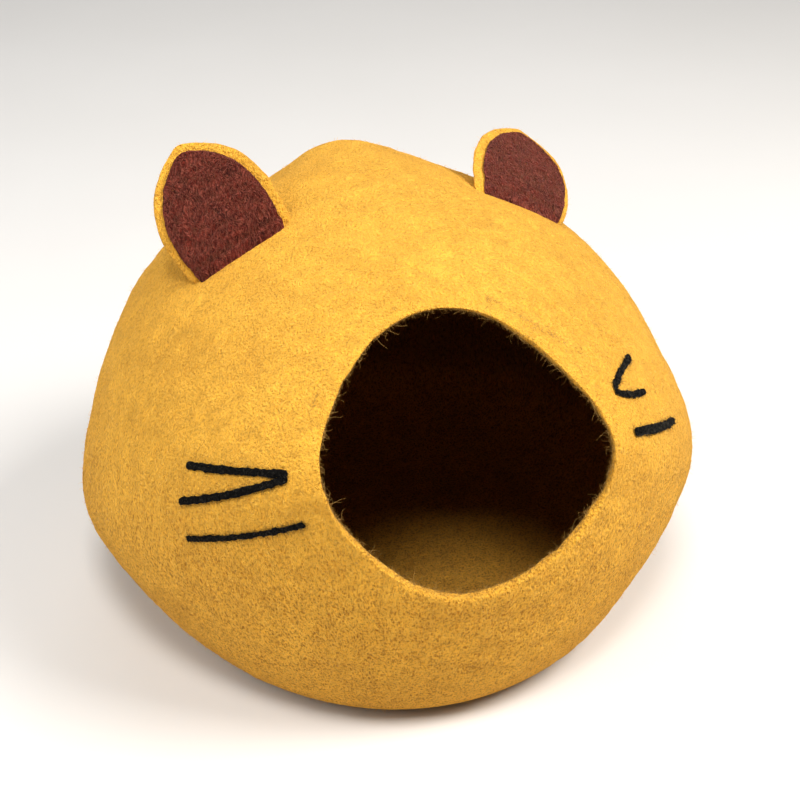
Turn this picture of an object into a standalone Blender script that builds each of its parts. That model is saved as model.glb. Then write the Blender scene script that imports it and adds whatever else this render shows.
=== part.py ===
"""Felt cat bed: one seamless felt pod with a round mouth, two ears with wool faces, and yarn whiskers.

The pod is felted round a flat disc, so a soft ridge runs all the way round it. The ridge is high beside
the mouth and low at the back, because the pod leans back on its flat base. The mouth is cut through the
ridge at the front. Sizes are in millimetres and are turned into metres as each mesh is made.
+Z is up, the mouth faces -Y, and the origin is the middle of the footprint on the ground.
"""

import math

import bmesh
import bpy
import numpy as np
from mathutils import Vector
from mathutils.bvhtree import BVHTree

MM = 0.001
SEAT_GAP = 0.35

# Pod
WALL = 7.0
FLOOR_FADE = 45.0
FLAT_BELOW = 0.6
DOME_TOP = 331.0
DOME_TOP_SHIFT = (-8.0, 32.0)
BASE_RADIUS = 138.0
BASE_SHIFT = -3.3
BOWL_FULLNESS = 1.70
HEART = (0.0, 0.0, 150.0)

# Pod sections: degrees round from the mouth, ridge radius, ridge height, dome fullness
SECTIONS = (
    (0, 211.5, 240.5, 1.50),
    (45, 209.0, 189.0, 1.61),
    (90, 223.5, 96.0, 1.86),
    (135, 239.5, 56.0, 2.11),
    (180, 238.5, 50.0, 2.21),
    (225, 240.5, 60.0, 2.11),
    (270, 222.0, 105.5, 1.86),
    (315, 205.5, 196.0, 1.61),
)

# Hand-shaped hollows: degrees round, degrees up, spread in degrees, depth. A negative depth stands proud
HOLLOWS = (
    (140, 52, 13, 11.0),
    (-143, 47, 12, 9.5),
    (-153, 51, 8, 8.0),
    (-170, 56, 8, -10.5),
    (-106, 5, 14, 2.5),
    (78, 8, 11, 3.0),
    (67, -4, 9, -4.0),
    (-101, -14, 9, -4.0),
    (-87, -25, 12, 3.0),
)

# Mouth: its centre, how far its plane leans back, and its radius every 30 degrees from the right side up
MOUTH_CENTRE = (0.7, -172.0, 228.0)
MOUTH_LEAN = math.radians(28.5)
MOUTH_RADII = (95.0, 84.0, 87.5, 92.5, 91.0, 89.5, 94.0, 87.5, 88.5, 93.5, 92.5, 96.5)
RIM_BULGE = 0.5

# Mesh density of the pod
AROUND = 64
RINGS = 38
LIP_STEPS = 6

# How far outside the pod a search for its surface starts
CLEAR_OF_POD = 200.0
CLEAR_OF_EAR = 60.0

# Ears: name, foot's outer end x y, foot's inner end x y, rise from the foot to the tip x y z, bend, bulge.
# A bend is how far the ear bows to +X half way up, and how far its tip leans to +X
EARS = (
    ("left", (-134.0, 0.0), (-67.0, 0.0), (-32.0, 36.0, 62.5), (-0.5, 0.0), 0.08),
    ("right", (134.0, 30.0), (69.0, 24.0), (23.0, 61.0, 31.0), (1.5, -2.5), 0.15),
)
EAR_THICK = 6.0
EAR_SHOULDER = 3.4
EAR_POINT = 0.72
EAR_CUP = 10.0
EAR_CUP_START = 0.5
EAR_RIM = 6.0
EAR_FOOT_RIM = 2.0
EAR_SEAT = 0.55
WOOL_THICK = 2.6
WOOL_TAPER = 0.6
EAR_ROWS = 14
EAR_COLUMNS = 14

# Whisker strokes: name, degrees round and up from the heart at the start, middle and end, width
STROKES = (
    ("left_v", (-55.4, 17.3), (-42.7, 20.4), (-32.1, 22.4), 5.0),
    ("left_v_low", (-55.3, 10.7), (-42.8, 16.5), (-32.2, 21.6), 5.0),
    ("left_lower", (-54.0, 3.5), (-40.4, 9.1), (-29.1, 14.2), 4.4),
    ("right_v", (48.7, 28.4), (40.3, 28.5), (33.8, 27.4), 4.6),
    ("right_v_low", (44.0, 22.7), (37.5, 24.8), (33.6, 27.0), 4.6),
    ("right_lower", (32.9, 19.9), (40.6, 17.0), (50.9, 13.2), 6.0),
)
YARN_HEIGHT = 0.72
YARN_SIDES = 12
YARN_STEPS = 20

FELT_YELLOW = (0.82, 0.45, 0.045, 1.0)
WOOL_BROWN = (0.10, 0.022, 0.014, 1.0)
YARN_BLACK = (0.008, 0.008, 0.010, 1.0)


def clear_scene():
    """Removes every object so that the file starts empty."""
    for obj in list(bpy.data.objects):
        bpy.data.objects.remove(obj, do_unlink=True)


def felt_material(name, colour, roughness):
    """A matt Principled BSDF material."""
    material = bpy.data.materials.new(name)
    material.use_nodes = True
    shader = material.node_tree.nodes["Principled BSDF"]
    shader.inputs["Base Color"].default_value = colour
    shader.inputs["Roughness"].default_value = roughness
    shader.inputs["Metallic"].default_value = 0.0
    return material


def unit(vector):
    """The vector or vectors at length one."""
    vector = np.asarray(vector, float)
    return vector / np.linalg.norm(vector, axis=-1, keepdims=True)


def periodic(values, angle):
    """A smooth closed curve through evenly spaced values, read at an angle in radians."""
    terms = np.fft.rfft(values) / len(values)
    total = np.full_like(np.asarray(angle, float), terms[0].real)
    for order, term in enumerate(terms[1:], start=1):
        weight = 1.0 if 2 * order == len(values) else 2.0
        total = total + weight * (term.real * np.cos(order * angle) - term.imag * np.sin(order * angle))
    return total


def pod_grid(columns=288, dome_rows=72, bowl_rows=56):
    """The pod's outer surface as rows of points, from the top of the dome to the middle of the base."""
    around = np.linspace(0.0, 2.0 * math.pi, columns, endpoint=False)
    _, radii, heights, fullness = (np.array(column, float) for column in zip(*SECTIONS))
    radius = periodic(radii, around)
    height = periodic(heights, around)
    full = periodic(fullness, around)
    out = np.stack([np.sin(around), -np.cos(around)], axis=-1)
    rows = []
    for turn in np.linspace(math.pi / 2, 0.0, dome_rows):
        rise = np.sin(turn) ** (2.0 / full)
        reach = max(math.cos(turn), 0.0) ** (2.0 / full)
        flat = out * (radius * reach)[:, None] + np.outer(rise**2, DOME_TOP_SHIFT)
        rows.append(np.column_stack([flat, height + (DOME_TOP - height) * rise]))
    for turn in np.linspace(0.0, math.pi / 2, bowl_rows)[1:]:
        drop = math.sin(turn) ** (2.0 / BOWL_FULLNESS)
        reach = max(math.cos(turn), 0.0) ** (2.0 / BOWL_FULLNESS)
        flat = out * (BASE_RADIUS + (radius - BASE_RADIUS) * reach)[:, None]
        flat[:, 1] += BASE_SHIFT * drop
        rows.append(np.column_stack([flat, height * (1.0 - drop)]))
    rows.append(np.tile([0.0, BASE_SHIFT, 0.0], (columns, 1)))
    return hollowed(np.array(rows))


def heart_direction(around, up):
    """The unit vector from the heart at these angles in degrees."""
    a, e = math.radians(around), math.radians(up)
    return np.array([math.sin(a) * math.cos(e), -math.cos(a) * math.cos(e), math.sin(e)])


def hollowed(grid):
    """The surface pressed in towards the heart at each hand-shaped hollow."""
    from_middle = grid - np.array(HEART)
    reach = np.linalg.norm(from_middle, axis=-1, keepdims=True)
    way = from_middle / reach
    for around, up, spread, depth in HOLLOWS:
        apart = np.arccos(np.clip(way @ heart_direction(around, up), -1.0, 1.0))
        press = depth * np.exp(-0.5 * (apart / math.radians(spread)) ** 2)
        free = np.clip(grid[..., 2] / FLOOR_FADE, 0.0, 1.0)
        grid = grid - way * (press * free * free * (3.0 - 2.0 * free))[..., None]
    return grid


def pod_tree():
    """A search tree of the pod's outer surface, for finding points on it."""
    grid = pod_grid()
    rows, columns, _ = grid.shape
    faces = []
    for row in range(rows - 1):
        for column in range(columns):
            beside = (column + 1) % columns
            upper, lower = row * columns, (row + 1) * columns
            faces.append((upper + column, lower + column, lower + beside, upper + beside))
    return BVHTree.FromPolygons(grid.reshape(-1, 3).tolist(), faces)


def on_pod(tree, start, direction):
    """The first point of the pod's surface from start along direction, and the outward normal there."""
    point, normal, _, _ = tree.ray_cast(Vector(start), Vector(direction))
    normal = np.array(normal)
    if normal @ (np.array(point) - np.array(HEART)) < 0:
        normal = -normal
    return np.array(point), normal


def from_heart(tree, around, up):
    """The surface point seen from the heart at these angles in degrees, and its normal."""
    return on_pod(tree, HEART, heart_direction(around, up))


def mouth_axes():
    """Unit vectors of the mouth's plane: right, up and outward."""
    right = np.array([1.0, 0.0, 0.0])
    out = np.array([0.0, -math.cos(MOUTH_LEAN), math.sin(MOUTH_LEAN)])
    return right, np.cross(out, right), out


def pod_rings(tree):
    """The outer surface as rings from the mouth's rim to the point opposite it, shape (rings, around, 3)."""
    heart = np.array(HEART)
    right, up, out = mouth_axes()
    clock = np.linspace(0.0, 2.0 * math.pi, AROUND, endpoint=False)
    radii = periodic(MOUTH_RADII, clock)
    pole = unit(np.array(MOUTH_CENTRE) - heart)
    rings = np.zeros((RINGS + 1, AROUND, 3))
    for j, (angle, radius) in enumerate(zip(clock, radii)):
        spoke = radius * (math.cos(angle) * right + math.sin(angle) * up)
        rim, _ = on_pod(tree, MOUTH_CENTRE + spoke + CLEAR_OF_POD * out, -out)
        rings[0, j] = rim
        towards = unit(rim - heart)
        opening = math.acos(float(towards @ pole))
        side = unit(towards - pole * (towards @ pole))
        for i in range(1, RINGS + 1):
            sweep = opening + (math.pi - opening) * i / RINGS
            direction = pole * math.cos(sweep) + side * math.sin(sweep)
            rings[i, j], _ = on_pod(tree, heart, direction)
    rings[-1] = rings[-1].mean(axis=0)
    rings[..., 2] = np.where(rings[..., 2] < FLAT_BELOW, 0.0, rings[..., 2])
    return rings


def ring_normals(rings):
    """Outward unit normals of the rings, from their neighbours."""
    along = np.gradient(rings, axis=0)
    across = np.roll(rings, -1, axis=1) - np.roll(rings, 1, axis=1)
    normals = np.cross(along, across)
    normals[-1] = normals[-2].mean(axis=0)
    normals = unit(normals)
    outward = np.sign(np.sum(normals * (rings - np.array(HEART)), axis=-1, keepdims=True))
    normals = normals * outward
    normals[rings[..., 2] == 0.0] = (0.0, 0.0, -1.0)
    return normals


def closed_mesh(name, strips, material):
    """One object from grids of points in millimetres that share their edges, welded and facing outward."""
    builder = bmesh.new()
    for grid, wraps in strips:
        rows = [[builder.verts.new(Vector(point) * MM) for point in row] for row in grid]
        columns = len(rows[0])
        for upper, lower in zip(rows, rows[1:]):
            for c in range(columns if wraps else columns - 1):
                d = (c + 1) % columns
                builder.faces.new((upper[c], lower[c], lower[d], upper[d]))
    bmesh.ops.remove_doubles(builder, verts=builder.verts, dist=1e-6)
    bmesh.ops.dissolve_degenerate(builder, edges=builder.edges, dist=1e-7)
    bmesh.ops.recalc_face_normals(builder, faces=builder.faces)
    mesh = bpy.data.meshes.new(name)
    builder.to_mesh(mesh)
    builder.free()
    mesh.materials.append(material)
    mesh.shade_smooth()
    obj = bpy.data.objects.new(name, mesh)
    bpy.context.scene.collection.objects.link(obj)
    return obj


def make_pod(tree, material):
    """The felt pod: outer surface, rounded rim and inner surface in one closed shell."""
    outer = pod_rings(tree)
    normals = ring_normals(outer)
    inner = outer - WALL * normals
    half = WALL / 2
    lip_way = unit(outer[0] - outer[1]) * RIM_BULGE
    lip = [
        outer[0] + half * (lip_way * math.sin(turn) - normals[0] * (1.0 - math.cos(turn)))
        for turn in np.linspace(0.0, math.pi, LIP_STEPS)
    ]
    return closed_mesh("body_shell", [(outer, True), (np.array(lip), True), (inner, True)], material)


def ear_frame(tree, outer_xy, inner_xy, rise):
    """An ear's foot middle, half foot width, vectors across, up and forward, and the pod's normal there."""
    ends = [on_pod(tree, (x, y, 2.0 * DOME_TOP), (0.0, 0.0, -1.0)) for x, y in (outer_xy, inner_xy)]
    ends.sort(key=lambda end: end[0][0])
    (start, start_normal), (finish, finish_normal) = ends
    rise = np.array(rise)
    forward = unit(np.cross(finish - start, rise))
    middle = (start + finish) / 2
    half = np.linalg.norm(finish - start) / 2
    return middle, half, unit(finish - start), rise, forward, unit(start_normal + finish_normal)


def ear_grid(tree, frame, bend, bulge, inset, foot_lift, offset):
    """One face of an ear piece: rows of points from the foot on the pod up to the tip."""
    middle, half, across, rise, forward, pod_normal = frame
    bow, lean = bend
    length = np.linalg.norm(rise)
    up = unit(rise)
    rows = []
    for v in 1.0 - (1.0 - np.linspace(0.0, 1.0, EAR_ROWS)) ** 1.8:
        belly = math.sin(math.pi * v)
        width = (half - inset) * (max(1.0 - v**EAR_SHOULDER, 0.0) ** EAR_POINT + bulge * belly)
        height = (length - inset) * v
        row = []
        for u in np.linspace(-1.0, 1.0, EAR_COLUMNS):
            a = u * width
            cup = EAR_CUP * (1.0 - (a / half) ** 2) * (height / length - EAR_CUP_START)
            flat = middle + across * (a + bow * belly + lean * v) + forward * (offset - cup)
            foot, _ = on_pod(tree, flat + pod_normal * CLEAR_OF_EAR, -pod_normal)
            foot = foot + pod_normal * foot_lift
            row.append(flat + up * height + (foot - flat) * (1.0 - v) ** 2)
        rows.append(row)
    return np.array(rows)


def slab(name, front, back, material):
    """A closed sheet between a front and a back grid."""
    left, right = (np.stack([front[:, k], back[:, k]]) for k in (0, -1))
    foot = np.stack([front[0], back[0]])
    return closed_mesh(name, [(grid, False) for grid in (front, back, foot, left, right)], material)


def make_ear(tree, name, outer_xy, inner_xy, rise, bend, bulge, felt, wool):
    """A cupped felt ear standing on the pod, and the wool face set into its front."""
    frame = ear_frame(tree, outer_xy, inner_xy, rise)
    half = EAR_THICK / 2
    front = ear_grid(tree, frame, bend, bulge, 0.0, EAR_SEAT, half)
    back = ear_grid(tree, frame, bend, bulge, 0.0, EAR_SEAT, -half)
    slab(f"ear_{name}", front, back, felt)
    seat = half + SEAT_GAP
    foot = EAR_SEAT + EAR_FOOT_RIM
    wool_back = ear_grid(tree, frame, bend, bulge, EAR_RIM, foot, seat)
    wool_front = ear_grid(tree, frame, bend, bulge, EAR_RIM + WOOL_TAPER, foot, seat + WOOL_THICK)
    slab(f"ear_{name}_inner", wool_front, wool_back, wool)


def stroke_path(tree, start, middle, end, width):
    """Points and normals along a stroke that follows the pod, an even curve through three directions."""
    length = np.linalg.norm(from_heart(tree, *end)[0] - from_heart(tree, *start)[0])
    trim = width / 2 / length
    points, normals = [], []
    for t in np.linspace(trim, 1.0 - trim, YARN_STEPS):
        weights = (2 * (t - 0.5) * (t - 1), -4 * t * (t - 1), 2 * t * (t - 0.5))
        around = sum(w * place[0] for w, place in zip(weights, (start, middle, end)))
        up = sum(w * place[1] for w, place in zip(weights, (start, middle, end)))
        point, normal = from_heart(tree, around, up)
        points.append(point)
        normals.append(normal)
    return np.array(points), unit(np.array(normals))


def make_stroke(tree, name, start, middle, end, width, material):
    """A stroke of felted yarn with round ends, lying on the pod."""
    points, normals = stroke_path(tree, start, middle, end, width)
    along = unit(np.gradient(points, axis=0))
    across = unit(np.cross(along, normals))
    normals = unit(np.cross(across, along))
    half = width / 2
    tall = half * YARN_HEIGHT
    spine = points + normals * (tall + SEAT_GAP)
    caps = [math.radians(a) for a in (0, 25, 50, 70)]
    spines, scales, frames = [], [], []
    for a in caps:
        spines.append(spine[0] - along[0] * half * math.cos(a))
        scales.append(math.sin(a))
        frames.append(0)
    for k in range(len(spine)):
        spines.append(spine[k])
        scales.append(1.0)
        frames.append(k)
    for a in reversed(caps):
        spines.append(spine[-1] + along[-1] * half * math.cos(a))
        scales.append(math.sin(a))
        frames.append(len(spine) - 1)
    turn = np.linspace(0.0, 2.0 * math.pi, YARN_SIDES, endpoint=False)
    rings = []
    for centre, scale, k in zip(spines, scales, frames):
        outline = np.outer(np.cos(turn), across[k] * half) + np.outer(np.sin(turn), normals[k] * tall)
        rings.append(centre + scale * outline)
    return closed_mesh(name, [(np.array(rings), True)], material)


def unite(keeper, other):
    """Fuses another stroke into keeper with a Boolean, and keeps the other as a hidden helper."""
    other.hide_render = True
    other.display_type = "WIRE"
    join = keeper.modifiers.new("join", "BOOLEAN")
    join.operation = "UNION"
    join.solver = "EXACT"
    join.object = other


def main():
    clear_scene()
    felt = felt_material("felt_yellow", FELT_YELLOW, 0.95)
    wool = felt_material("wool_brown", WOOL_BROWN, 0.95)
    yarn = felt_material("yarn_black", YARN_BLACK, 0.9)
    tree = pod_tree()
    make_pod(tree, felt)
    for name, outer_xy, inner_xy, rise, bend, bulge in EARS:
        make_ear(tree, name, outer_xy, inner_xy, rise, bend, bulge, felt, wool)
    strokes = {
        name: make_stroke(tree, f"whisker_{name}", start, middle, end, width, yarn)
        for name, start, middle, end, width in STROKES
    }
    for side in ("left", "right"):
        unite(strokes[f"{side}_v"], strokes[f"{side}_v_low"])


main()
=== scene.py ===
"""Looks of the felted wool cat bed: its pod, cupped ears, wool faces, yarn whiskers and loose fuzz.

Everything is in metres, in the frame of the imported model. +Z is up and the round mouth faces -Y.
"""

import logging
import math
from collections.abc import Callable
from dataclasses import dataclass, field
from enum import Enum

import bpy
import numpy as np
from mathutils import Matrix, Vector, noise
from mathutils.bvhtree import BVHTree
from mathutils.kdtree import KDTree


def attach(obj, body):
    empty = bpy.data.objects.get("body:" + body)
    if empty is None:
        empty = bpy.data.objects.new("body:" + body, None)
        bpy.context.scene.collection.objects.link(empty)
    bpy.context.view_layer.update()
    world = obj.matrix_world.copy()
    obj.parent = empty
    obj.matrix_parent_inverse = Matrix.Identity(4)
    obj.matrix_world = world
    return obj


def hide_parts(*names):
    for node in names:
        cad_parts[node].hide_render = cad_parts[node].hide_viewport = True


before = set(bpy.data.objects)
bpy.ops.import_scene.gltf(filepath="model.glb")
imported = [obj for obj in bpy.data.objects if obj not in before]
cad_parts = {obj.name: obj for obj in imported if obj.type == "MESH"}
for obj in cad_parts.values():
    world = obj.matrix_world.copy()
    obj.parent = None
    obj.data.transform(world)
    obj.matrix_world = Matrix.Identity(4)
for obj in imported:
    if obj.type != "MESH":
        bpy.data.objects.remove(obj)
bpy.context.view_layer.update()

LOG = logging.getLogger("cat_bed")
Colour = tuple[float, float, float, float]
Numbers = tuple[float, float, float]
Shaper = Callable[[bpy.types.Mesh], None]

BODY = "root"
CUT_EDGE = 0.0022
WELD = 0.00001
QUAD_FLATNESS = math.radians(40)
QUAD_SKEW = math.radians(60)
TUBE_SIDES = 3
STEEP = 0.8
HEART = Vector((0.0, 0.0, 0.150))
MOUTH_CENTRE = Vector((0.0007, -0.172, 0.228))
MOUTH_LEAN = math.radians(28.5)
MOUTH_OUT = Vector((0.0, -math.cos(MOUTH_LEAN), math.sin(MOUTH_LEAN)))
MOUTH_UP = Vector((0.0, math.sin(MOUTH_LEAN), math.cos(MOUTH_LEAN)))
PIXELS = 800
SHADE = "inner_shade"


class Slot(Enum):
    """Names of the material slots."""

    FELT = "felt_yellow"
    WOOL = "wool_brown"
    YARN = "yarn_black"


class Wire:
    """A shader output whose arithmetic adds Math nodes."""

    def __init__(self, graph: "Graph", socket: bpy.types.NodeSocket | None) -> None:
        """Holds the socket.

        Args:
            graph: The material's graph that new nodes go into.
            socket: The output that this wire starts from.
        """
        self.graph = graph
        self.socket = socket

    def _maths(self, operation: str, first: "Wire | float", second: "Wire | float") -> "Wire":
        """Adds a Math node.

        Args:
            operation: The node's operation.
            first: Its first value.
            second: Its second value.

        Returns:
            The node's result.
        """
        values = {"Value": first, "Value_001": second}
        return self.graph.add("ShaderNodeMath", {"operation": operation}, values)

    def __add__(self, other: "Wire | float") -> "Wire":
        """The sum."""
        return self._maths("ADD", self, other)

    def __sub__(self, other: "Wire | float") -> "Wire":
        """The difference."""
        return self._maths("SUBTRACT", self, other)

    def __rsub__(self, other: "Wire | float") -> "Wire":
        """The difference the other way."""
        return self._maths("SUBTRACT", other, self)

    def __mul__(self, other: "Wire | float") -> "Wire":
        """The product."""
        return self._maths("MULTIPLY", self, other)

    def highest(self, other: "Wire | float") -> "Wire":
        """The larger of the two."""
        return self._maths("MAXIMUM", self, other)


class Graph:
    """One material and its nodes."""

    def __init__(self, name: str) -> None:
        """Makes an empty material.

        Args:
            name: The material's name.
        """
        self.material = bpy.data.materials.new(name)
        self.material.use_nodes = True
        self.tree = self.material.node_tree
        self.tree.nodes.clear()

    def add(
        self, kind: str, settings: dict | None = None, values: dict | None = None, out: str = ""
    ) -> Wire:
        """Adds a node.

        Args:
            kind: The node's type.
            settings: Its own settings, set first.
            values: Numbers or wires for its inputs, by identifier.
            out: The identifier of the output that is wanted, or the first if empty.

        Returns:
            The wanted output.
        """
        node = self.tree.nodes.new(kind)
        for key, value in (settings or {}).items():
            setattr(node, key, value)
        sockets = {socket.identifier: socket for socket in node.inputs}
        for key, value in (values or {}).items():
            if isinstance(value, Wire):
                self.tree.links.new(value.socket, sockets[key])
            else:
                sockets[key].default_value = value
        outputs = {socket.identifier: socket for socket in node.outputs}
        first = next(iter(outputs), "")
        return Wire(self, outputs.get(out or first))

    def noise(
        self, where: Wire, scale: float, detail: float = 3.0, rough: float = 0.5, out: str = "Fac"
    ) -> Wire:
        """Adds a Noise Texture.

        Args:
            where: The coordinates.
            scale: Features per metre.
            detail: Octaves.
            rough: How strong the fine octaves are.
            out: "Fac" or "Color".

        Returns:
            The noise.
        """
        values = {"Vector": where, "Scale": scale, "Detail": detail, "Roughness": rough}
        return self.add("ShaderNodeTexNoise", None, values, out)

    def spread(self, value: Wire, low: float, high: float) -> Wire:
        """Stretches the range from low to high over 0 to 1, clamped."""
        values = {"Value": value, "From Min": low, "From Max": high}
        return self.add("ShaderNodeMapRange", {"clamp": True}, values)

    def mix(self, factor: Wire, first: "Wire | Colour", second: "Wire | Colour") -> Wire:
        """Mixes two colours by a factor."""
        values = {"Factor_Float": factor, "A_Color": first, "B_Color": second}
        return self.add("ShaderNodeMix", {"data_type": "RGBA"}, values, "Result_Color")


@dataclass(frozen=True)
class WoolFinish:
    """A felted wool finish: tones, relief and the loose fibres on top.

    Scales are in features per metre and heights in metres. Shade is how far the tone goes to the
    painted shade tone where the piece's shade attribute is 1. The nap is short slanted strokes. The grain
    is pebbles, nap and lumps mixed in the shares of grain_mix, and it darkens more as the height falls from
    the first value of its height band to the second, which is painted shade on the lower felt laid over the
    real grain. A range is the part of a noise that is stretched to 0 to 1.
    """

    name: str
    deep: Colour
    middle: Colour
    bright: Colour
    patch_scale: float = 22.0
    patch_range: tuple[float, float] = (0.25, 0.62)
    pebble_scale: float = 520.0
    pebble_height: float = 0.0029
    lump_scale: float = 110.0
    lump_height: float = 0.0015
    fibre_across: float = 1150.0
    fibre_along: float = 150.0
    fibre_height: float = 0.0008
    fibre_tone: float = 0.5
    fibre_turns: tuple[Numbers, ...] = ((0.3, 0.2, 0.0), (1.3, 0.5, 0.9), (0.5, 1.4, 2.1))
    fibre_range: tuple[float, float] = (0.52, 0.78)
    swirl_scale: float = 70.0
    swirl_reach: Numbers = (0.012, 0.012, 0.012)
    pebble_tone: float = 0.55
    patch_tone: float = 0.40
    nap_turn: Numbers = (0.5, 0.6, 0.0)
    nap_scale: Numbers = (880.0, 880.0, 300.0)
    # Height band and strength of the painted shade that deepens the grain on the lower felt.
    grain_shade_band: tuple[float, float] = (0.21, 0.13)
    grain_shade_tone: float = 0.45
    nap_height: float = 0.0018
    grain_mix: Numbers = (0.45, 0.45, 0.1)
    grain_range: tuple[float, float] = (0.38, 0.54)
    roughness: float = 0.92
    gloss: float = 0.12
    sheen: float = 0.10
    sheen_roughness: float = 0.5
    sheen_tint: Colour = (1.0, 0.85, 0.5, 1.0)
    relief: float = 1.0
    # Strength and colour of the painted shade on the marked inner walls and ceiling.
    shade: float = 0.0
    shade_tone: Colour = (0.05, 0.014, 0.002, 1.0)

    def fibres(self, graph: Graph, where: Wire) -> Wire:
        """Fine wandering strands in three directions.

        Args:
            graph: The material's graph.
            where: Object coordinates.

        Returns:
            A height from 0 to 1, high along the strands.
        """
        swirl = graph.noise(where, self.swirl_scale, detail=2.0, out="Color")
        bent = graph.add(
            "ShaderNodeVectorMath",
            {"operation": "MULTIPLY_ADD"},
            {"Vector": swirl, "Vector_001": self.swirl_reach, "Vector_002": where},
        )
        found: Wire | None = None
        scale = (self.fibre_across, self.fibre_across, self.fibre_along)
        for turn in self.fibre_turns:
            values = {"Vector": bent, "Rotation": turn, "Scale": scale}
            turned = graph.add("ShaderNodeMapping", None, values)
            strands = graph.noise(turned, scale=1.0, detail=2.0)
            found = strands if found is None else found.highest(strands)
        assert found is not None
        return graph.spread(found, *self.fibre_range)

    def material(self) -> bpy.types.Material:
        """Makes the finish's material."""
        graph = Graph(self.name)
        where = graph.add("ShaderNodeTexCoord", None, None, "Object")
        patches = graph.noise(where, self.patch_scale, detail=5.0, rough=0.7)
        patches = graph.spread(patches, *self.patch_range)
        pebbles = graph.noise(where, self.pebble_scale, rough=0.55)
        lumps = graph.noise(where, self.lump_scale, detail=2.0)
        strands = self.fibres(graph, where)
        tone = graph.mix((1.0 - patches) * self.patch_tone, self.middle, self.deep)
        turned = graph.add(
            "ShaderNodeMapping", None, {"Vector": where, "Rotation": self.nap_turn, "Scale": self.nap_scale}
        )
        nap = graph.noise(turned, scale=1.0, detail=2.0)
        # Painted shade: the grain's dark specks deepen as the height falls, standing in for shade on the
        # lower felt.
        heights = graph.add("ShaderNodeSeparateXYZ", None, {"Vector": where}, "Z")
        low = graph.spread(heights, *self.grain_shade_band)
        pebble_share, nap_share, lump_share = self.grain_mix
        mixed = pebbles * pebble_share + nap * nap_share + lumps * lump_share
        grain = graph.spread(mixed, *self.grain_range)
        tone = graph.mix((1.0 - grain) * (low * self.grain_shade_tone + self.pebble_tone), tone, self.deep)
        tone = graph.mix(strands * self.fibre_tone, tone, self.bright)
        # Painted shade: the tone goes towards the shade tone where the inner walls and ceiling are marked.
        if self.shade:
            inner = graph.add("ShaderNodeAttribute", {"attribute_name": SHADE}, None, "Fac")
            tone = graph.mix(inner * self.shade, tone, self.shade_tone)
        height = pebbles * self.pebble_height + lumps * self.lump_height + strands * self.fibre_height
        height = height + nap * self.nap_height
        normal = graph.add(
            "ShaderNodeBump", None, {"Strength": 1.0, "Distance": self.relief, "Height": height}
        )
        shader = graph.add(
            "ShaderNodeBsdfPrincipled",
            None,
            {
                "Base Color": tone,
                "Roughness": self.roughness,
                "Specular IOR Level": self.gloss,
                "Sheen Weight": self.sheen,
                "Sheen Roughness": self.sheen_roughness,
                "Sheen Tint": self.sheen_tint,
                "Normal": normal,
            },
        )
        graph.add("ShaderNodeOutputMaterial", None, {"Surface": shader})
        return graph.material


FELT = WoolFinish(
    "felt_mustard",
    deep=(0.42, 0.165, 0.016, 1.0),
    middle=(0.94, 0.50, 0.066, 1.0),
    bright=(0.98, 0.63, 0.14, 1.0),
    shade=0.53,
)
FELT_FUZZ = WoolFinish(
    "fuzz_mustard",
    deep=(0.62, 0.28, 0.03, 1.0),
    middle=(0.86, 0.46, 0.07, 1.0),
    bright=(0.95, 0.60, 0.14, 1.0),
    relief=0.0,
)
# Painted shade: the rim's fringe and curls take a darker tone than the outside fuzz, for the shade at the
# mouth's edge.
RIM_FUZZ_SHADED = WoolFinish(
    "fuzz_rim_shaded",
    deep=(0.16, 0.08, 0.02, 1.0),
    middle=(0.46, 0.27, 0.08, 1.0),
    bright=(0.80, 0.56, 0.22, 1.0),
    relief=0.0,
)
WOOL = WoolFinish(
    "wool_chestnut",
    deep=(0.022, 0.004, 0.003, 1.0),
    middle=(0.165, 0.030, 0.019, 1.0),
    bright=(0.42, 0.125, 0.085, 1.0),
    patch_scale=90.0,
    patch_tone=0.95,
    pebble_scale=380.0,
    pebble_tone=0.8,
    fibre_across=700.0,
    fibre_along=110.0,
    fibre_height=0.0020,
    fibre_tone=0.75,
    sheen=0.12,
    sheen_tint=(1.0, 0.55, 0.5, 1.0),
)
WOOL_FUZZ = WoolFinish(
    "strands_chestnut",
    deep=(0.035, 0.006, 0.004, 1.0),
    middle=(0.20, 0.045, 0.028, 1.0),
    bright=(0.55, 0.24, 0.17, 1.0),
    patch_scale=160.0,
    pebble_tone=0.8,
    patch_tone=1.0,
    relief=0.0,
)
YARN = WoolFinish(
    "yarn_soot",
    deep=(0.0026, 0.0023, 0.0021, 1.0),
    middle=(0.0054, 0.0048, 0.0044, 1.0),
    bright=(0.022, 0.0195, 0.0175, 1.0),
    patch_scale=120.0,
    sheen=0.01,
    sheen_tint=(0.9, 0.85, 0.8, 1.0),
)
YARN_FUZZ = WoolFinish(
    "fuzz_soot",
    deep=(0.010, 0.010, 0.010, 1.0),
    middle=(0.045, 0.043, 0.040, 1.0),
    bright=(0.16, 0.15, 0.13, 1.0),
    relief=0.0,
)


def select_only(piece: bpy.types.Object) -> None:
    """Leaves only this piece selected and active."""
    bpy.ops.object.select_all(action="DESELECT")
    piece.select_set(True)
    bpy.context.view_layer.objects.active = piece


def cut_rows(mesh: bpy.types.Mesh) -> list[list[int]]:
    """Finds the rows of points across a thin cut face by its short edges.

    Args:
        mesh: A mesh whose only short edges cross the cut face.

    Returns:
        Point numbers of each row from one wide surface to the other, and of the same row back.
    """
    beside: dict[int, list[int]] = {}
    for edge in mesh.edges:
        first, second = edge.vertices
        if (mesh.vertices[first].co - mesh.vertices[second].co).length < CUT_EDGE:
            beside.setdefault(first, []).append(second)
            beside.setdefault(second, []).append(first)
    rows = []
    for start in [point for point, near in beside.items() if len(near) == 1]:
        row = [start]
        while ahead := [point for point in beside[row[-1]] if point not in row]:
            row.append(ahead[0])
        rows.append(row)
    return rows


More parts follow.
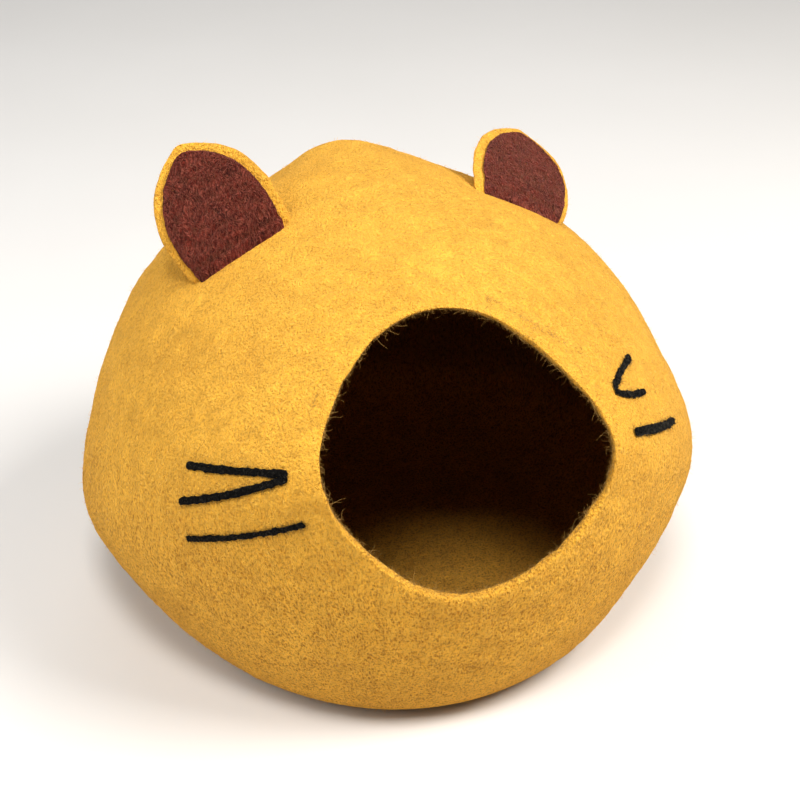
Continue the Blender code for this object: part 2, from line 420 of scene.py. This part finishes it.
def fine_copy(node: str, name: str, levels: int, shape: Shaper | None = None) -> bpy.types.Object:
    """Copies a CAD node, merges it, turns it into quads and smooths it with subdivision.

    Args:
        node: The CAD node's name.
        name: The new piece's name.
        levels: Subdivision levels.
        shape: What reshapes the merged mesh before it is smoothed, if anything does.

    Returns:
        The new piece, which nothing holds yet.
    """
    select_only(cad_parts[node])
    bpy.ops.object.duplicate(linked=False)
    piece = bpy.context.active_object
    piece.name = name
    piece.data.name = name
    piece.parent = None
    piece.hide_render = False
    piece.hide_viewport = False
    for key in [key for key in piece.keys() if key.startswith("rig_")]:
        del piece[key]
    bpy.ops.object.mode_set(mode="EDIT")
    bpy.ops.mesh.select_mode(type="FACE")
    bpy.ops.mesh.select_all(action="SELECT")
    bpy.ops.mesh.remove_doubles(threshold=WELD)
    bpy.ops.mesh.tris_convert_to_quads(face_threshold=QUAD_FLATNESS, shape_threshold=QUAD_SKEW)
    bpy.ops.object.mode_set(mode="OBJECT")
    if shape is not None:
        shape(piece.data)
    smooth = piece.modifiers.new("smooth", "SUBSURF")
    smooth.levels = levels
    smooth.render_levels = levels
    bpy.ops.object.modifier_apply(modifier=smooth.name)
    bpy.ops.object.shade_smooth()
    return piece


def points_of(piece: bpy.types.Object) -> tuple[np.ndarray, np.ndarray]:
    """The piece's points and their normals, as arrays."""
    count = len(piece.data.vertices)
    points = np.empty(count * 3, np.float32)
    piece.data.vertices.foreach_get("co", points)
    normals = np.empty(count * 3, np.float32)
    piece.data.vertex_normals.foreach_get("vector", normals)
    return points.reshape(-1, 3).astype(float), normals.reshape(-1, 3).astype(float)


def triangle_corners(mesh: bpy.types.Mesh) -> np.ndarray:
    """Three point numbers for each of the mesh's triangles."""
    mesh.calc_loop_triangles()
    corners = np.empty(len(mesh.loop_triangles) * 3, np.int32)
    mesh.loop_triangles.foreach_get("vertices", corners)
    return corners.reshape(-1, 3)


def move_points(piece: bpy.types.Object, points: np.ndarray) -> None:
    """Puts the piece's points at these places."""
    piece.data.vertices.foreach_set("co", points.astype(np.float32).ravel())
    piece.data.update()


def grown(points: np.ndarray, growth: float) -> np.ndarray:
    """The points moved away from their middle, so that a piece grows by this factor."""
    middle = points.mean(axis=0)
    return middle + (points - middle) * growth


def eased(values: np.ndarray, low: float, high: float) -> np.ndarray:
    """A smooth step from 0 at low to 1 at high."""
    part = np.clip((values - low) / (high - low), 0.0, 1.0)
    return part * part * (3.0 - 2.0 * part)


def rough(points: np.ndarray, scale: float, octaves: int = 3) -> np.ndarray:
    """Fractal noise about zero at each point.

    Args:
        points: Places, in metres.
        scale: Features per metre.
        octaves: How many finer layers are added.

    Returns:
        One number a point, about -1 to 1.
    """
    return np.array([noise.fractal(Vector(point) * scale, 1.0, 2.0, octaves) for point in points])


@dataclass(frozen=True)
class Ripple:
    """One layer of fractal lumps: its height in metres, features per metre and octaves."""

    height: float
    scale: float
    octaves: int = 3

    def over(self, points: np.ndarray) -> np.ndarray:
        """How far each point is raised by this layer."""
        return self.height * rough(points, self.scale, self.octaves)


def surface_tree(piece: bpy.types.Object) -> BVHTree:
    """A search tree of the piece's faces, also where the piece is hidden."""
    corners = [vertex.co for vertex in piece.data.vertices]
    return BVHTree.FromPolygons(corners, [face.vertices[:] for face in piece.data.polygons])


def above_pod(points: np.ndarray) -> tuple[np.ndarray, np.ndarray]:
    """How far each point is above the CAD pod, and the pod's outward direction there."""
    tree = surface_tree(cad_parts["body_shell"])
    heights, outward = [], []
    for point in points:
        place, normal, _, distance = tree.find_nearest(Vector(point))
        heights.append(math.copysign(distance, (Vector(point) - place).dot(normal)))
        outward.append(normal)
    return np.array(heights), np.array(outward)


def sunk_to_pod(points: np.ndarray, drop: float, reach: float) -> tuple[np.ndarray, np.ndarray]:
    """How points near the pod sink towards it.

    Args:
        points: Places, in metres.
        drop: How far a point at the pod's surface sinks.
        reach: The height above the pod from which nothing sinks.

    Returns:
        The way to take off each point, and its height above the pod.
    """
    gaps, outward = above_pod(points)
    return outward * (drop * (1.0 - eased(gaps, 0.0, reach)))[:, None], gaps


def distance_to(points: np.ndarray, nodes: tuple[str, ...]) -> np.ndarray:
    """How far each point is from the nearest vertex of these CAD nodes."""
    corners = [vertex.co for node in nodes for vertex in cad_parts[node].data.vertices]
    tree = KDTree(len(corners))
    for index, corner in enumerate(corners):
        tree.insert(corner, index)
    tree.balance()
    return np.array([tree.find(point)[2] for point in points])


def finished(piece: bpy.types.Object, finish: WoolFinish, slot: Slot, *nodes: str) -> bpy.types.Object:
    """Dresses a piece and fixes it to the frame.

    Args:
        piece: The piece.
        finish: Its finish.
        slot: Not used.
        nodes: The CAD nodes that it stands for.

    Returns:
        The piece.
    """
    piece.data.materials.clear()
    piece.data.materials.append(finish.material())
    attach(piece, BODY)
    if nodes:
        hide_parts(*nodes)
    LOG.info("%s: %d faces", piece.name, len(piece.data.polygons))
    return piece


@dataclass
class Fuzz:
    """Loose wool fibres standing out of a surface, each a thin tube with a pointed tip.

    Lengths are in metres. Lift is how far a fibre stands up for its step aside, and 0 is flat. Where
    stay isn't 0, a fibre whose third point or tip is farther than that from the surface is dropped.
    Root depth is in radii. Step curl is how far each step turns on, as a share of the curl. Dip is how
    steeply a fibre may bend back to the surface, and tip is its last ring's share of the radius.
    """

    name: str
    count: int
    length: tuple[float, float]
    radius: float
    lift: float
    curl: float
    seed: int
    steps: int = 4
    grain: Numbers | None = None
    grain_pull: float = 0.0
    grain_weight: float = 2.0
    stay: float = 0.0
    root_depth: float = 2.0
    lift_spread: tuple[float, float] = (0.3, 1.7)
    step_curl: float = 0.4
    dip: float = 0.12
    tip: float = 0.6
    random: np.random.Generator = field(init=False)

    def __post_init__(self) -> None:
        """Seeds the fibres' own random numbers."""
        self.random = np.random.default_rng(self.seed)

    def roots(self, piece: bpy.types.Object, keep: np.ndarray | None) -> tuple[np.ndarray, np.ndarray]:
        """Picks places on the piece's faces, evenly by area.

        Args:
            piece: The surface.
            keep: A weight for each triangle, or None for all alike.

        Returns:
            Places and outward directions.
        """
        corners = triangle_corners(piece.data)
        points, normals = points_of(piece)
        triangles = points[corners]
        sides = np.cross(triangles[:, 1] - triangles[:, 0], triangles[:, 2] - triangles[:, 0])
        chance = np.linalg.norm(sides, axis=1)
        if keep is not None:
            chance = chance * keep
        picked = self.random.choice(len(corners), self.count, p=chance / chance.sum())
        first, second = self.random.random((2, self.count, 1))
        fold = first + second > 1.0
        first, second = np.where(fold, 1.0 - first, first), np.where(fold, 1.0 - second, second)
        third = 1.0 - first - second
        weights = (third, first, second)
        place = sum(weight * triangles[picked, k] for k, weight in enumerate(weights))
        way = sum(weight * normals[corners[picked, k]] for k, weight in enumerate(weights))
        return place, way / np.linalg.norm(way, axis=1, keepdims=True)

    def grow(self, piece: bpy.types.Object, keep: np.ndarray | None = None) -> bpy.types.Object:
        """Makes the fibres on a piece as one mesh.

        Args:
            piece: The surface that they grow on.
            keep: A weight for each of its triangles, or None.

        Returns:
            The fibres.
        """
        place, out = self.roots(piece, keep)
        aside = self.random.normal(size=(self.count, 3))
        if self.grain is not None:
            pull = np.array(self.grain) * self.grain_pull * self.grain_weight
            aside = aside * (1.0 - self.grain_pull) + pull
        aside -= out * np.sum(aside * out, axis=1, keepdims=True)
        aside /= np.linalg.norm(aside, axis=1, keepdims=True)
        lift = self.lift * self.random.uniform(*self.lift_spread, (self.count, 1))
        way = aside + out * lift
        way /= np.linalg.norm(way, axis=1, keepdims=True)
        length = self.random.uniform(*self.length, (self.count, 1))
        turn = self.random.normal(size=(self.count, 3)) * self.curl
        line = [place - out * self.radius * self.root_depth]
        for _ in range(self.steps):
            line.append(line[-1] + way * length / self.steps)
            turn += self.random.normal(size=(self.count, 3)) * self.curl * self.step_curl
            way = way + turn
            way /= np.linalg.norm(way, axis=1, keepdims=True)
            sunk = np.minimum(np.sum(way * out, axis=1, keepdims=True) + self.dip, 0.0)
            way = way - out * sunk
        lines = np.stack(line, axis=1)
        if self.stay:
            lines = lines[self.near(piece, lines[:, 2]) & self.near(piece, lines[:, -1])]
        return self.tubes(lines)

    def near(self, piece: bpy.types.Object, points: np.ndarray) -> np.ndarray:
        """Which points lie within the stay distance of the piece's surface."""
        tree = surface_tree(piece)
        return np.array([tree.find_nearest(Vector(point), self.stay)[0] is not None for point in points])

    def tubes(self, line: np.ndarray) -> bpy.types.Object:
        """Turns centre lines into three-sided tubes with pointed tips.

        Args:
            line: Points, shape (fibres, steps + 1, 3).

        Returns:
            One object that holds them all.
        """
        along = np.gradient(line, axis=1)
        along /= np.linalg.norm(along, axis=2, keepdims=True)
        helper = np.where(np.abs(along[..., 2:]) < STEEP, (0.0, 0.0, 1.0), (1.0, 0.0, 0.0))
        across = np.cross(along, helper)
        across /= np.linalg.norm(across, axis=2, keepdims=True)
        other = np.cross(along, across)
        rings = []
        thin = self.radius * np.linspace(1.0, self.tip, self.steps)[None, :, None]
        for side in range(TUBE_SIDES):
            angle = side * math.tau / TUBE_SIDES
            rings.append(
                line[:, :-1] + thin * (across[:, :-1] * math.cos(angle) + other[:, :-1] * math.sin(angle))
            )
        ring_points = np.stack(rings, axis=2).reshape(len(line), -1, 3)
        points = np.concatenate([ring_points, line[:, -1:]], axis=1)
        tip = self.steps * TUBE_SIDES
        faces = [(2, 1, 0)]
        for low in range(0, tip - TUBE_SIDES, TUBE_SIDES):
            high = low + TUBE_SIDES
            for side in range(TUBE_SIDES):
                beside = (side + 1) % TUBE_SIDES
                faces.append((low + side, low + beside, high + beside))
                faces.append((low + side, high + beside, high + side))
        last = tip - TUBE_SIDES
        faces += [(last + side, last + (side + 1) % TUBE_SIDES, tip) for side in range(TUBE_SIDES)]
        offsets = np.arange(len(line))[:, None, None] * (tip + 1)
        corners = (np.array(faces)[None] + offsets).reshape(-1, 3)
        return mesh_piece(self.name, points.reshape(-1, 3), corners)


def mesh_piece(name: str, points: np.ndarray, corners: np.ndarray) -> bpy.types.Object:
    """One smooth object from arrays of points and triangles.

    Args:
        name: The object's name.
        points: Places, in metres.
        corners: Three point numbers for each face.

    Returns:
        The object, linked into the scene.
    """
    mesh = bpy.data.meshes.new(name)
    mesh.vertices.add(len(points))
    mesh.vertices.foreach_set("co", points.astype(np.float32).ravel())
    mesh.loops.add(corners.size)
    mesh.loops.foreach_set("vertex_index", corners.astype(np.int32).ravel())
    mesh.polygons.add(len(corners))
    mesh.polygons.foreach_set("loop_start", np.arange(0, corners.size, 3, dtype=np.int32))
    mesh.update(calc_edges=True)
    mesh.validate()
    mesh.shade_smooth()
    piece = bpy.data.objects.new(name, mesh)
    bpy.context.scene.collection.objects.link(piece)
    return piece


def triangle_middles(piece: bpy.types.Object) -> tuple[np.ndarray, np.ndarray]:
    """The middle and normal of each of the piece's triangles."""
    corners = triangle_corners(piece.data)
    normals = np.empty(corners.size, np.float32)
    piece.data.loop_triangles.foreach_get("normal", normals)
    points, _ = points_of(piece)
    return points[corners].mean(axis=1), normals.reshape(-1, 3).astype(float)


@dataclass
class Pod:
    """The felt pod with its lumpy hand-felted surface and the fuzz on it.

    Each pair of values is where an effect starts and where it is full, apart from rim_facing, whose
    two values are the limits of how far a face on the rim looks outward to bear fuzz.
    """

    node: str = "body_shell"
    levels: int = 2
    swell: Ripple = Ripple(0.0008, 26.0)
    crinkle: Ripple = Ripple(0.0006, 80.0)
    crease_centre: Numbers = (0.09, -0.20, 0.11)
    crease_reach: float = 0.13
    crease_gain: float = 1.6
    off_floor: tuple[float, float] = (0.004, 0.03)
    clear: tuple[float, float] = (0.003, 0.014)
    lip_profile: tuple[tuple[float, float], ...] = (
        (1.7, 0.0),
        (2.2, 0.12),
        (1.8, 0.35),
        (1.1, 0.60),
        (0.2, 0.82),
        (-0.8, 1.0),
    )
    lip_band: tuple[float, float] = (-0.07, 0.0)
    shade_rise: tuple[float, float] = (0.030, 0.080)
    shade_facing: tuple[float, float] = (0.1, 0.5)
    fuzz_above: float = 0.006
    rim_depth: float = 0.030
    rim_radius: float = 0.100
    rim_facing: tuple[float, float] = (-0.75, 0.66)

    def square_lip(self, mesh: bpy.types.Mesh) -> None:
        """Carries the felt on over the round lip and sets the cut back under it, not at the bottom.

        Args:
            mesh: The merged pod. Its lip's rows hold as many points as the profile, whose pairs say
                how far a point reaches out and how deep in the wall it lies.
        """
        points = mesh.vertices
        for row in cut_rows(mesh):
            first, last = points[row[0]].co.copy(), points[row[-1]].co.copy()
            if len(row) != len(self.lip_profile) or (first - last).dot(MOUTH_OUT) < 0.0:
                continue
            bulge = (points[row[2]].co + points[row[3]].co - first - last) / 2
            height = np.array([(first - MOUTH_CENTRE).dot(MOUTH_UP)])
            squared = float(eased(height, *self.lip_band)[0])
            for index, (reach, depth) in zip(row, self.lip_profile):
                target = first.lerp(last, depth) + bulge * reach
                points[index].co = points[index].co.lerp(target, squared)

    def build(self) -> bpy.types.Object:
        """Builds the felt shell.

        Returns:
            The shell.
        """
        shell = fine_copy(self.node, "pod_felt", self.levels, self.square_lip)
        points, normals = points_of(shell)
        trims = tuple(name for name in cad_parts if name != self.node)
        free = eased(distance_to(points, trims), *self.clear) * eased(points[:, 2], *self.off_floor)
        near = np.linalg.norm(points - np.array(self.crease_centre), axis=1)
        pinched = 1.0 + self.crease_gain * (1.0 - eased(near, 0.0, self.crease_reach))
        height = self.swell.over(points) + pinched * self.crinkle.over(points)
        move_points(shell, points + normals * (height * free)[:, None])
        self.shade_inside(shell)
        return finished(shell, FELT, Slot.FELT, self.node)

    def shade_inside(self, shell: bpy.types.Object) -> None:
        """Marks the inner walls and the ceiling, whose wool gets painted shade to look deeper than outside.

        Args:
            shell: The felt shell.
        """
        points, normals = points_of(shell)
        ways = points - np.array(HEART)
        inward = -np.sum(normals * ways, axis=1) / np.linalg.norm(ways, axis=1)
        shade = eased(inward, *self.shade_facing) * eased(points[:, 2], *self.shade_rise)
        layer = shell.data.attributes.new(SHADE, "FLOAT", "POINT")
        layer.data.foreach_set("value", shade.astype(np.float32))

    def fuzz(self, shell: bpy.types.Object) -> None:
        """Grows short fuzz over the outside, and a fringe and longer curls round the mouth's rim.

        Args:
            shell: The felt shell.
        """
        middles, normals = triangle_middles(shell)
        outside = np.sum(normals * (middles - np.array(HEART)), axis=1) > 0.0
        above = middles[:, 2] > self.fuzz_above
        from_mouth = middles - np.array(MOUTH_CENTRE)
        depth = from_mouth @ np.array(MOUTH_OUT)
        radius = np.linalg.norm(from_mouth - depth[:, None] * np.array(MOUTH_OUT), axis=1)
        facing = normals @ np.array(MOUTH_OUT)
        sideways = (facing > self.rim_facing[0]) & (facing < self.rim_facing[1])
        rim = (np.abs(depth) < self.rim_depth) & (radius < self.rim_radius) & sideways
        cover = Fuzz(
            "pod_fuzz", count=8400, length=(0.0018, 0.0055), radius=0.00009, lift=0.45, curl=0.35, seed=4
        )
        finished(cover.grow(shell, (outside & above).astype(float)), FELT_FUZZ, Slot.FELT)
        # The fringe and the curls take the darker rim tone, which is painted shade at the mouth's edge.
        fringe = Fuzz(
            "mouth_fuzz", count=5200, length=(0.0012, 0.0045), radius=0.00010, lift=0.8, curl=0.5, seed=5
        )
        finished(fringe.grow(shell, rim.astype(float)), RIM_FUZZ_SHADED, Slot.FELT)
        curls = Fuzz(
            "mouth_curls",
            count=700,
            length=(0.005, 0.012),
            radius=0.00011,
            lift=0.9,
            curl=0.5,
            seed=6,
            steps=12,
        )
        finished(curls.grow(shell, rim.astype(float)), RIM_FUZZ_SHADED, Slot.FELT)


@dataclass
class Ear:
    """A cupped felt ear and the brown wool face in its front."""

    side: str
    grain: Numbers
    seed: int
    levels: int = 3
    seat_drop: float = 0.0012
    seat_reach: float = 0.004
    wool_drop: float = 0.0034
    wool_reach: float = 0.008
    felt_growth: float = 1.035
    wool_growth: float = 1.065
    fold_height: float = 0.0085
    fold_width: float = 0.0016
    fold_depth: float = 0.0013
    felt_lumps: Ripple = Ripple(0.0005, 90.0)
    felt_swell: Ripple = Ripple(0.0006, 35.0, 2)
    wool_lumps: Ripple = Ripple(0.0006, 160.0)
    front_facing: float = 0.7

    def build(self) -> None:
        """Builds the felt and its fuzz, then the wool face and its strands."""
        self.build_felt()
        self.build_wool()

    def build_felt(self) -> None:
        """Builds the cupped felt, grown a little and seated on the pod, and its fuzz."""
        felt = fine_copy(f"ear_{self.side}", f"ear_{self.side}_felt", self.levels)
        points, normals = points_of(felt)
        points = grown(points, self.felt_growth)
        height = self.felt_lumps.over(points) + self.felt_swell.over(points)
        seated, _ = sunk_to_pod(points, self.seat_drop, self.seat_reach)
        move_points(felt, points + normals * height[:, None] - seated)
        finished(felt, FELT, Slot.FELT, f"ear_{self.side}")
        fuzz = Fuzz(
            f"ear_{self.side}_fuzz",
            count=900,
            length=(0.002, 0.005),
            radius=0.00006,
            lift=0.6,
            curl=0.4,
            seed=self.seed,
        )
        finished(fuzz.grow(felt), FELT_FUZZ, Slot.FELT)

    def build_wool(self) -> None:
        """Builds the wool face, with a fold near its foot, and the strands that lie on its front."""
        face = fine_copy(f"ear_{self.side}_inner", f"ear_{self.side}_wool", self.levels)
        points, normals = points_of(face)
        points = grown(points, self.wool_growth)
        seated, gaps = sunk_to_pod(points, self.wool_drop, self.wool_reach)
        fold = np.exp(-(((gaps - self.fold_height) / self.fold_width) ** 2))
        height = self.wool_lumps.over(points) - self.fold_depth * fold
        move_points(face, points + normals * height[:, None] - seated)
        finished(face, WOOL, Slot.WOOL, f"ear_{self.side}_inner")
        strands = Fuzz(
            f"ear_{self.side}_strands",
            count=5200,
            length=(0.005, 0.013),
            radius=0.00021,
            lift=0.05,
            curl=0.15,
            seed=self.seed + 1,
            steps=5,
            grain=self.grain,
            grain_pull=0.55,
            stay=0.0011,
        )
        _, normals = triangle_middles(face)
        forward = normals[normals[:, 1] < 0.0].mean(axis=0)
        front = normals @ forward / np.linalg.norm(forward) > self.front_facing
        finished(strands.grow(face, front.astype(float)), WOOL_FUZZ, Slot.WOOL)


@dataclass
class Whisker:
    """A stroke of black yarn felted onto the pod."""

    name: str
    seed: int
    levels: int = 2
    pressed: float = 0.6
    twist: Ripple = Ripple(0.0009, 300.0)
    swell: Ripple = Ripple(0.0004, 90.0, 2)

    def build(self) -> None:
        """Builds the yarn, pressed flatter into the felt, and its fuzz."""
        node = f"whisker_{self.name}"
        yarn = fine_copy(node, f"{node}_yarn", self.levels)
        points, normals = points_of(yarn)
        height = self.twist.over(points) + self.swell.over(points)
        above, outward = above_pod(points)
        pressed = outward * (np.maximum(above, 0.0) * self.pressed)[:, None]
        move_points(yarn, points + normals * height[:, None] - pressed)
        finished(yarn, YARN, Slot.YARN, node)
        fuzz = Fuzz(
            f"{node}_fuzz",
            count=620,
            length=(0.0015, 0.0048),
            radius=0.00008,
            lift=0.45,
            curl=0.45,
            seed=self.seed,
        )
        finished(fuzz.grow(yarn), YARN_FUZZ, Slot.YARN)


@dataclass(frozen=True)
class Lamp:
    """A soft rectangular lamp that points at the pod."""

    name: str
    place: Numbers
    size: float
    watts: float
    colour: Numbers

    def build(self) -> None:
        """Adds the lamp."""
        light = bpy.data.lights.new(self.name, "AREA")
        light.size = self.size
        light.energy = self.watts
        light.color = self.colour
        lamp = bpy.data.objects.new(self.name, light)
        lamp.location = self.place
        lamp.rotation_euler = (HEART - Vector(self.place)).to_track_quat("-Z", "Y").to_euler()
        bpy.context.scene.collection.objects.link(lamp)


@dataclass
class Studio:
    """The camera, the pale floor, the soft lamps and the surroundings.

    The camera's angles, focal length and centre pixel were worked out by a fit to the picture.
    """

    azimuth: float = math.radians(-13.9032)
    elevation: float = math.radians(32.3036)
    roll: float = math.radians(1.2465)
    distance: float = 1.100
    focal_pixels: float = 1517.78
    centre_pixel: tuple[float, float] = (393.04, 417.34)
    sensor_mm: float = 36.0
    floor_side: float = 12.0
    floor_patch_scale: float = 3.0
    floor_dark: Colour = (0.66, 0.65, 0.635, 1.0)
    floor_light: Colour = (0.70, 0.69, 0.68, 1.0)
    floor_roughness: float = 0.9
    sky: Colour = (0.93, 0.94, 0.96, 1.0)
    sky_strength: float = 0.17
    lamps: tuple[Lamp, ...] = (
        Lamp("key", (1.2, -0.85, 1.85), 0.9, 50.0, (1.0, 0.965, 0.92)),
        Lamp("front", (-0.3, -1.15, 2.4), 0.6, 34.0, (1.0, 0.97, 0.93)),
        Lamp("side", (-1.9, -0.1, 1.45), 1.6, 26.0, (0.98, 0.99, 1.0)),
        Lamp("rear", (0.1, 1.7, 1.8), 1.6, 8.0, (1.0, 0.99, 0.97)),
    )

    def camera(self) -> None:
        """Adds the camera at the picture's viewing angle."""
        turn, tip = self.azimuth, self.elevation
        back = Vector((math.sin(turn) * math.cos(tip), -math.cos(turn) * math.cos(tip), math.sin(tip)))
        right = Vector((math.cos(turn), math.sin(turn), 0.0))
        up = back.cross(right)
        level_x = right * math.cos(self.roll) - up * math.sin(self.roll)
        level_y = right * math.sin(self.roll) + up * math.cos(self.roll)
        data = bpy.data.cameras.new("camera")
        data.sensor_width = self.sensor_mm
        data.lens = self.focal_pixels / PIXELS * self.sensor_mm
        data.shift_x = (PIXELS / 2 - self.centre_pixel[0]) / PIXELS
        data.shift_y = (self.centre_pixel[1] - PIXELS / 2) / PIXELS
        data.dof.use_dof = False
        camera = bpy.data.objects.new("camera", data)
        place = Matrix((level_x, level_y, back)).transposed().to_4x4()
        place.translation = HEART + back * self.distance
        camera.matrix_world = place
        bpy.context.scene.collection.objects.link(camera)
        bpy.context.scene.camera = camera

    def floor(self) -> None:
        """Adds the pale floor."""
        bpy.ops.object.select_all(action="DESELECT")
        bpy.ops.mesh.primitive_plane_add(size=self.floor_side, location=(0.0, 0.0, 0.0))
        floor = bpy.context.active_object
        floor.name = "floor"
        graph = Graph("floor_pale")
        where = graph.add("ShaderNodeTexCoord", None, None, "Object")
        patches = graph.noise(where, self.floor_patch_scale)
        tone = graph.mix(patches, self.floor_dark, self.floor_light)
        values = {"Base Color": tone, "Roughness": self.floor_roughness}
        shader = graph.add("ShaderNodeBsdfPrincipled", None, values)
        graph.add("ShaderNodeOutputMaterial", None, {"Surface": shader})
        floor.data.materials.append(graph.material)

    def build(self) -> None:
        """Adds the camera, the floor, the lamps and the pale surroundings."""
        self.camera()
        self.floor()
        for lamp in self.lamps:
            lamp.build()
        world = bpy.data.worlds.new("surroundings")
        world.use_nodes = True
        sky = world.node_tree.nodes["Background"]
        sky.inputs["Color"].default_value = self.sky
        sky.inputs["Strength"].default_value = self.sky_strength
        bpy.context.scene.world = world
        bpy.context.scene.view_settings.view_transform = "Standard"
        bpy.context.scene.view_settings.look = "Medium High Contrast"


def main() -> None:
    """Builds the whole bed and its studio."""
    logging.basicConfig(level=logging.INFO, format="%(message)s")
    Studio().build()
    pod = Pod()
    shell = pod.build()
    pod.fuzz(shell)
    Ear("left", (-0.4, 0.3, 0.8), seed=11).build()
    Ear("right", (0.4, 0.6, 0.6), seed=21).build()
    for seed, name in enumerate(("left_v", "left_lower", "right_v", "right_lower"), start=31):
        Whisker(name, seed).build()


if __name__ == "__main__":
    main()
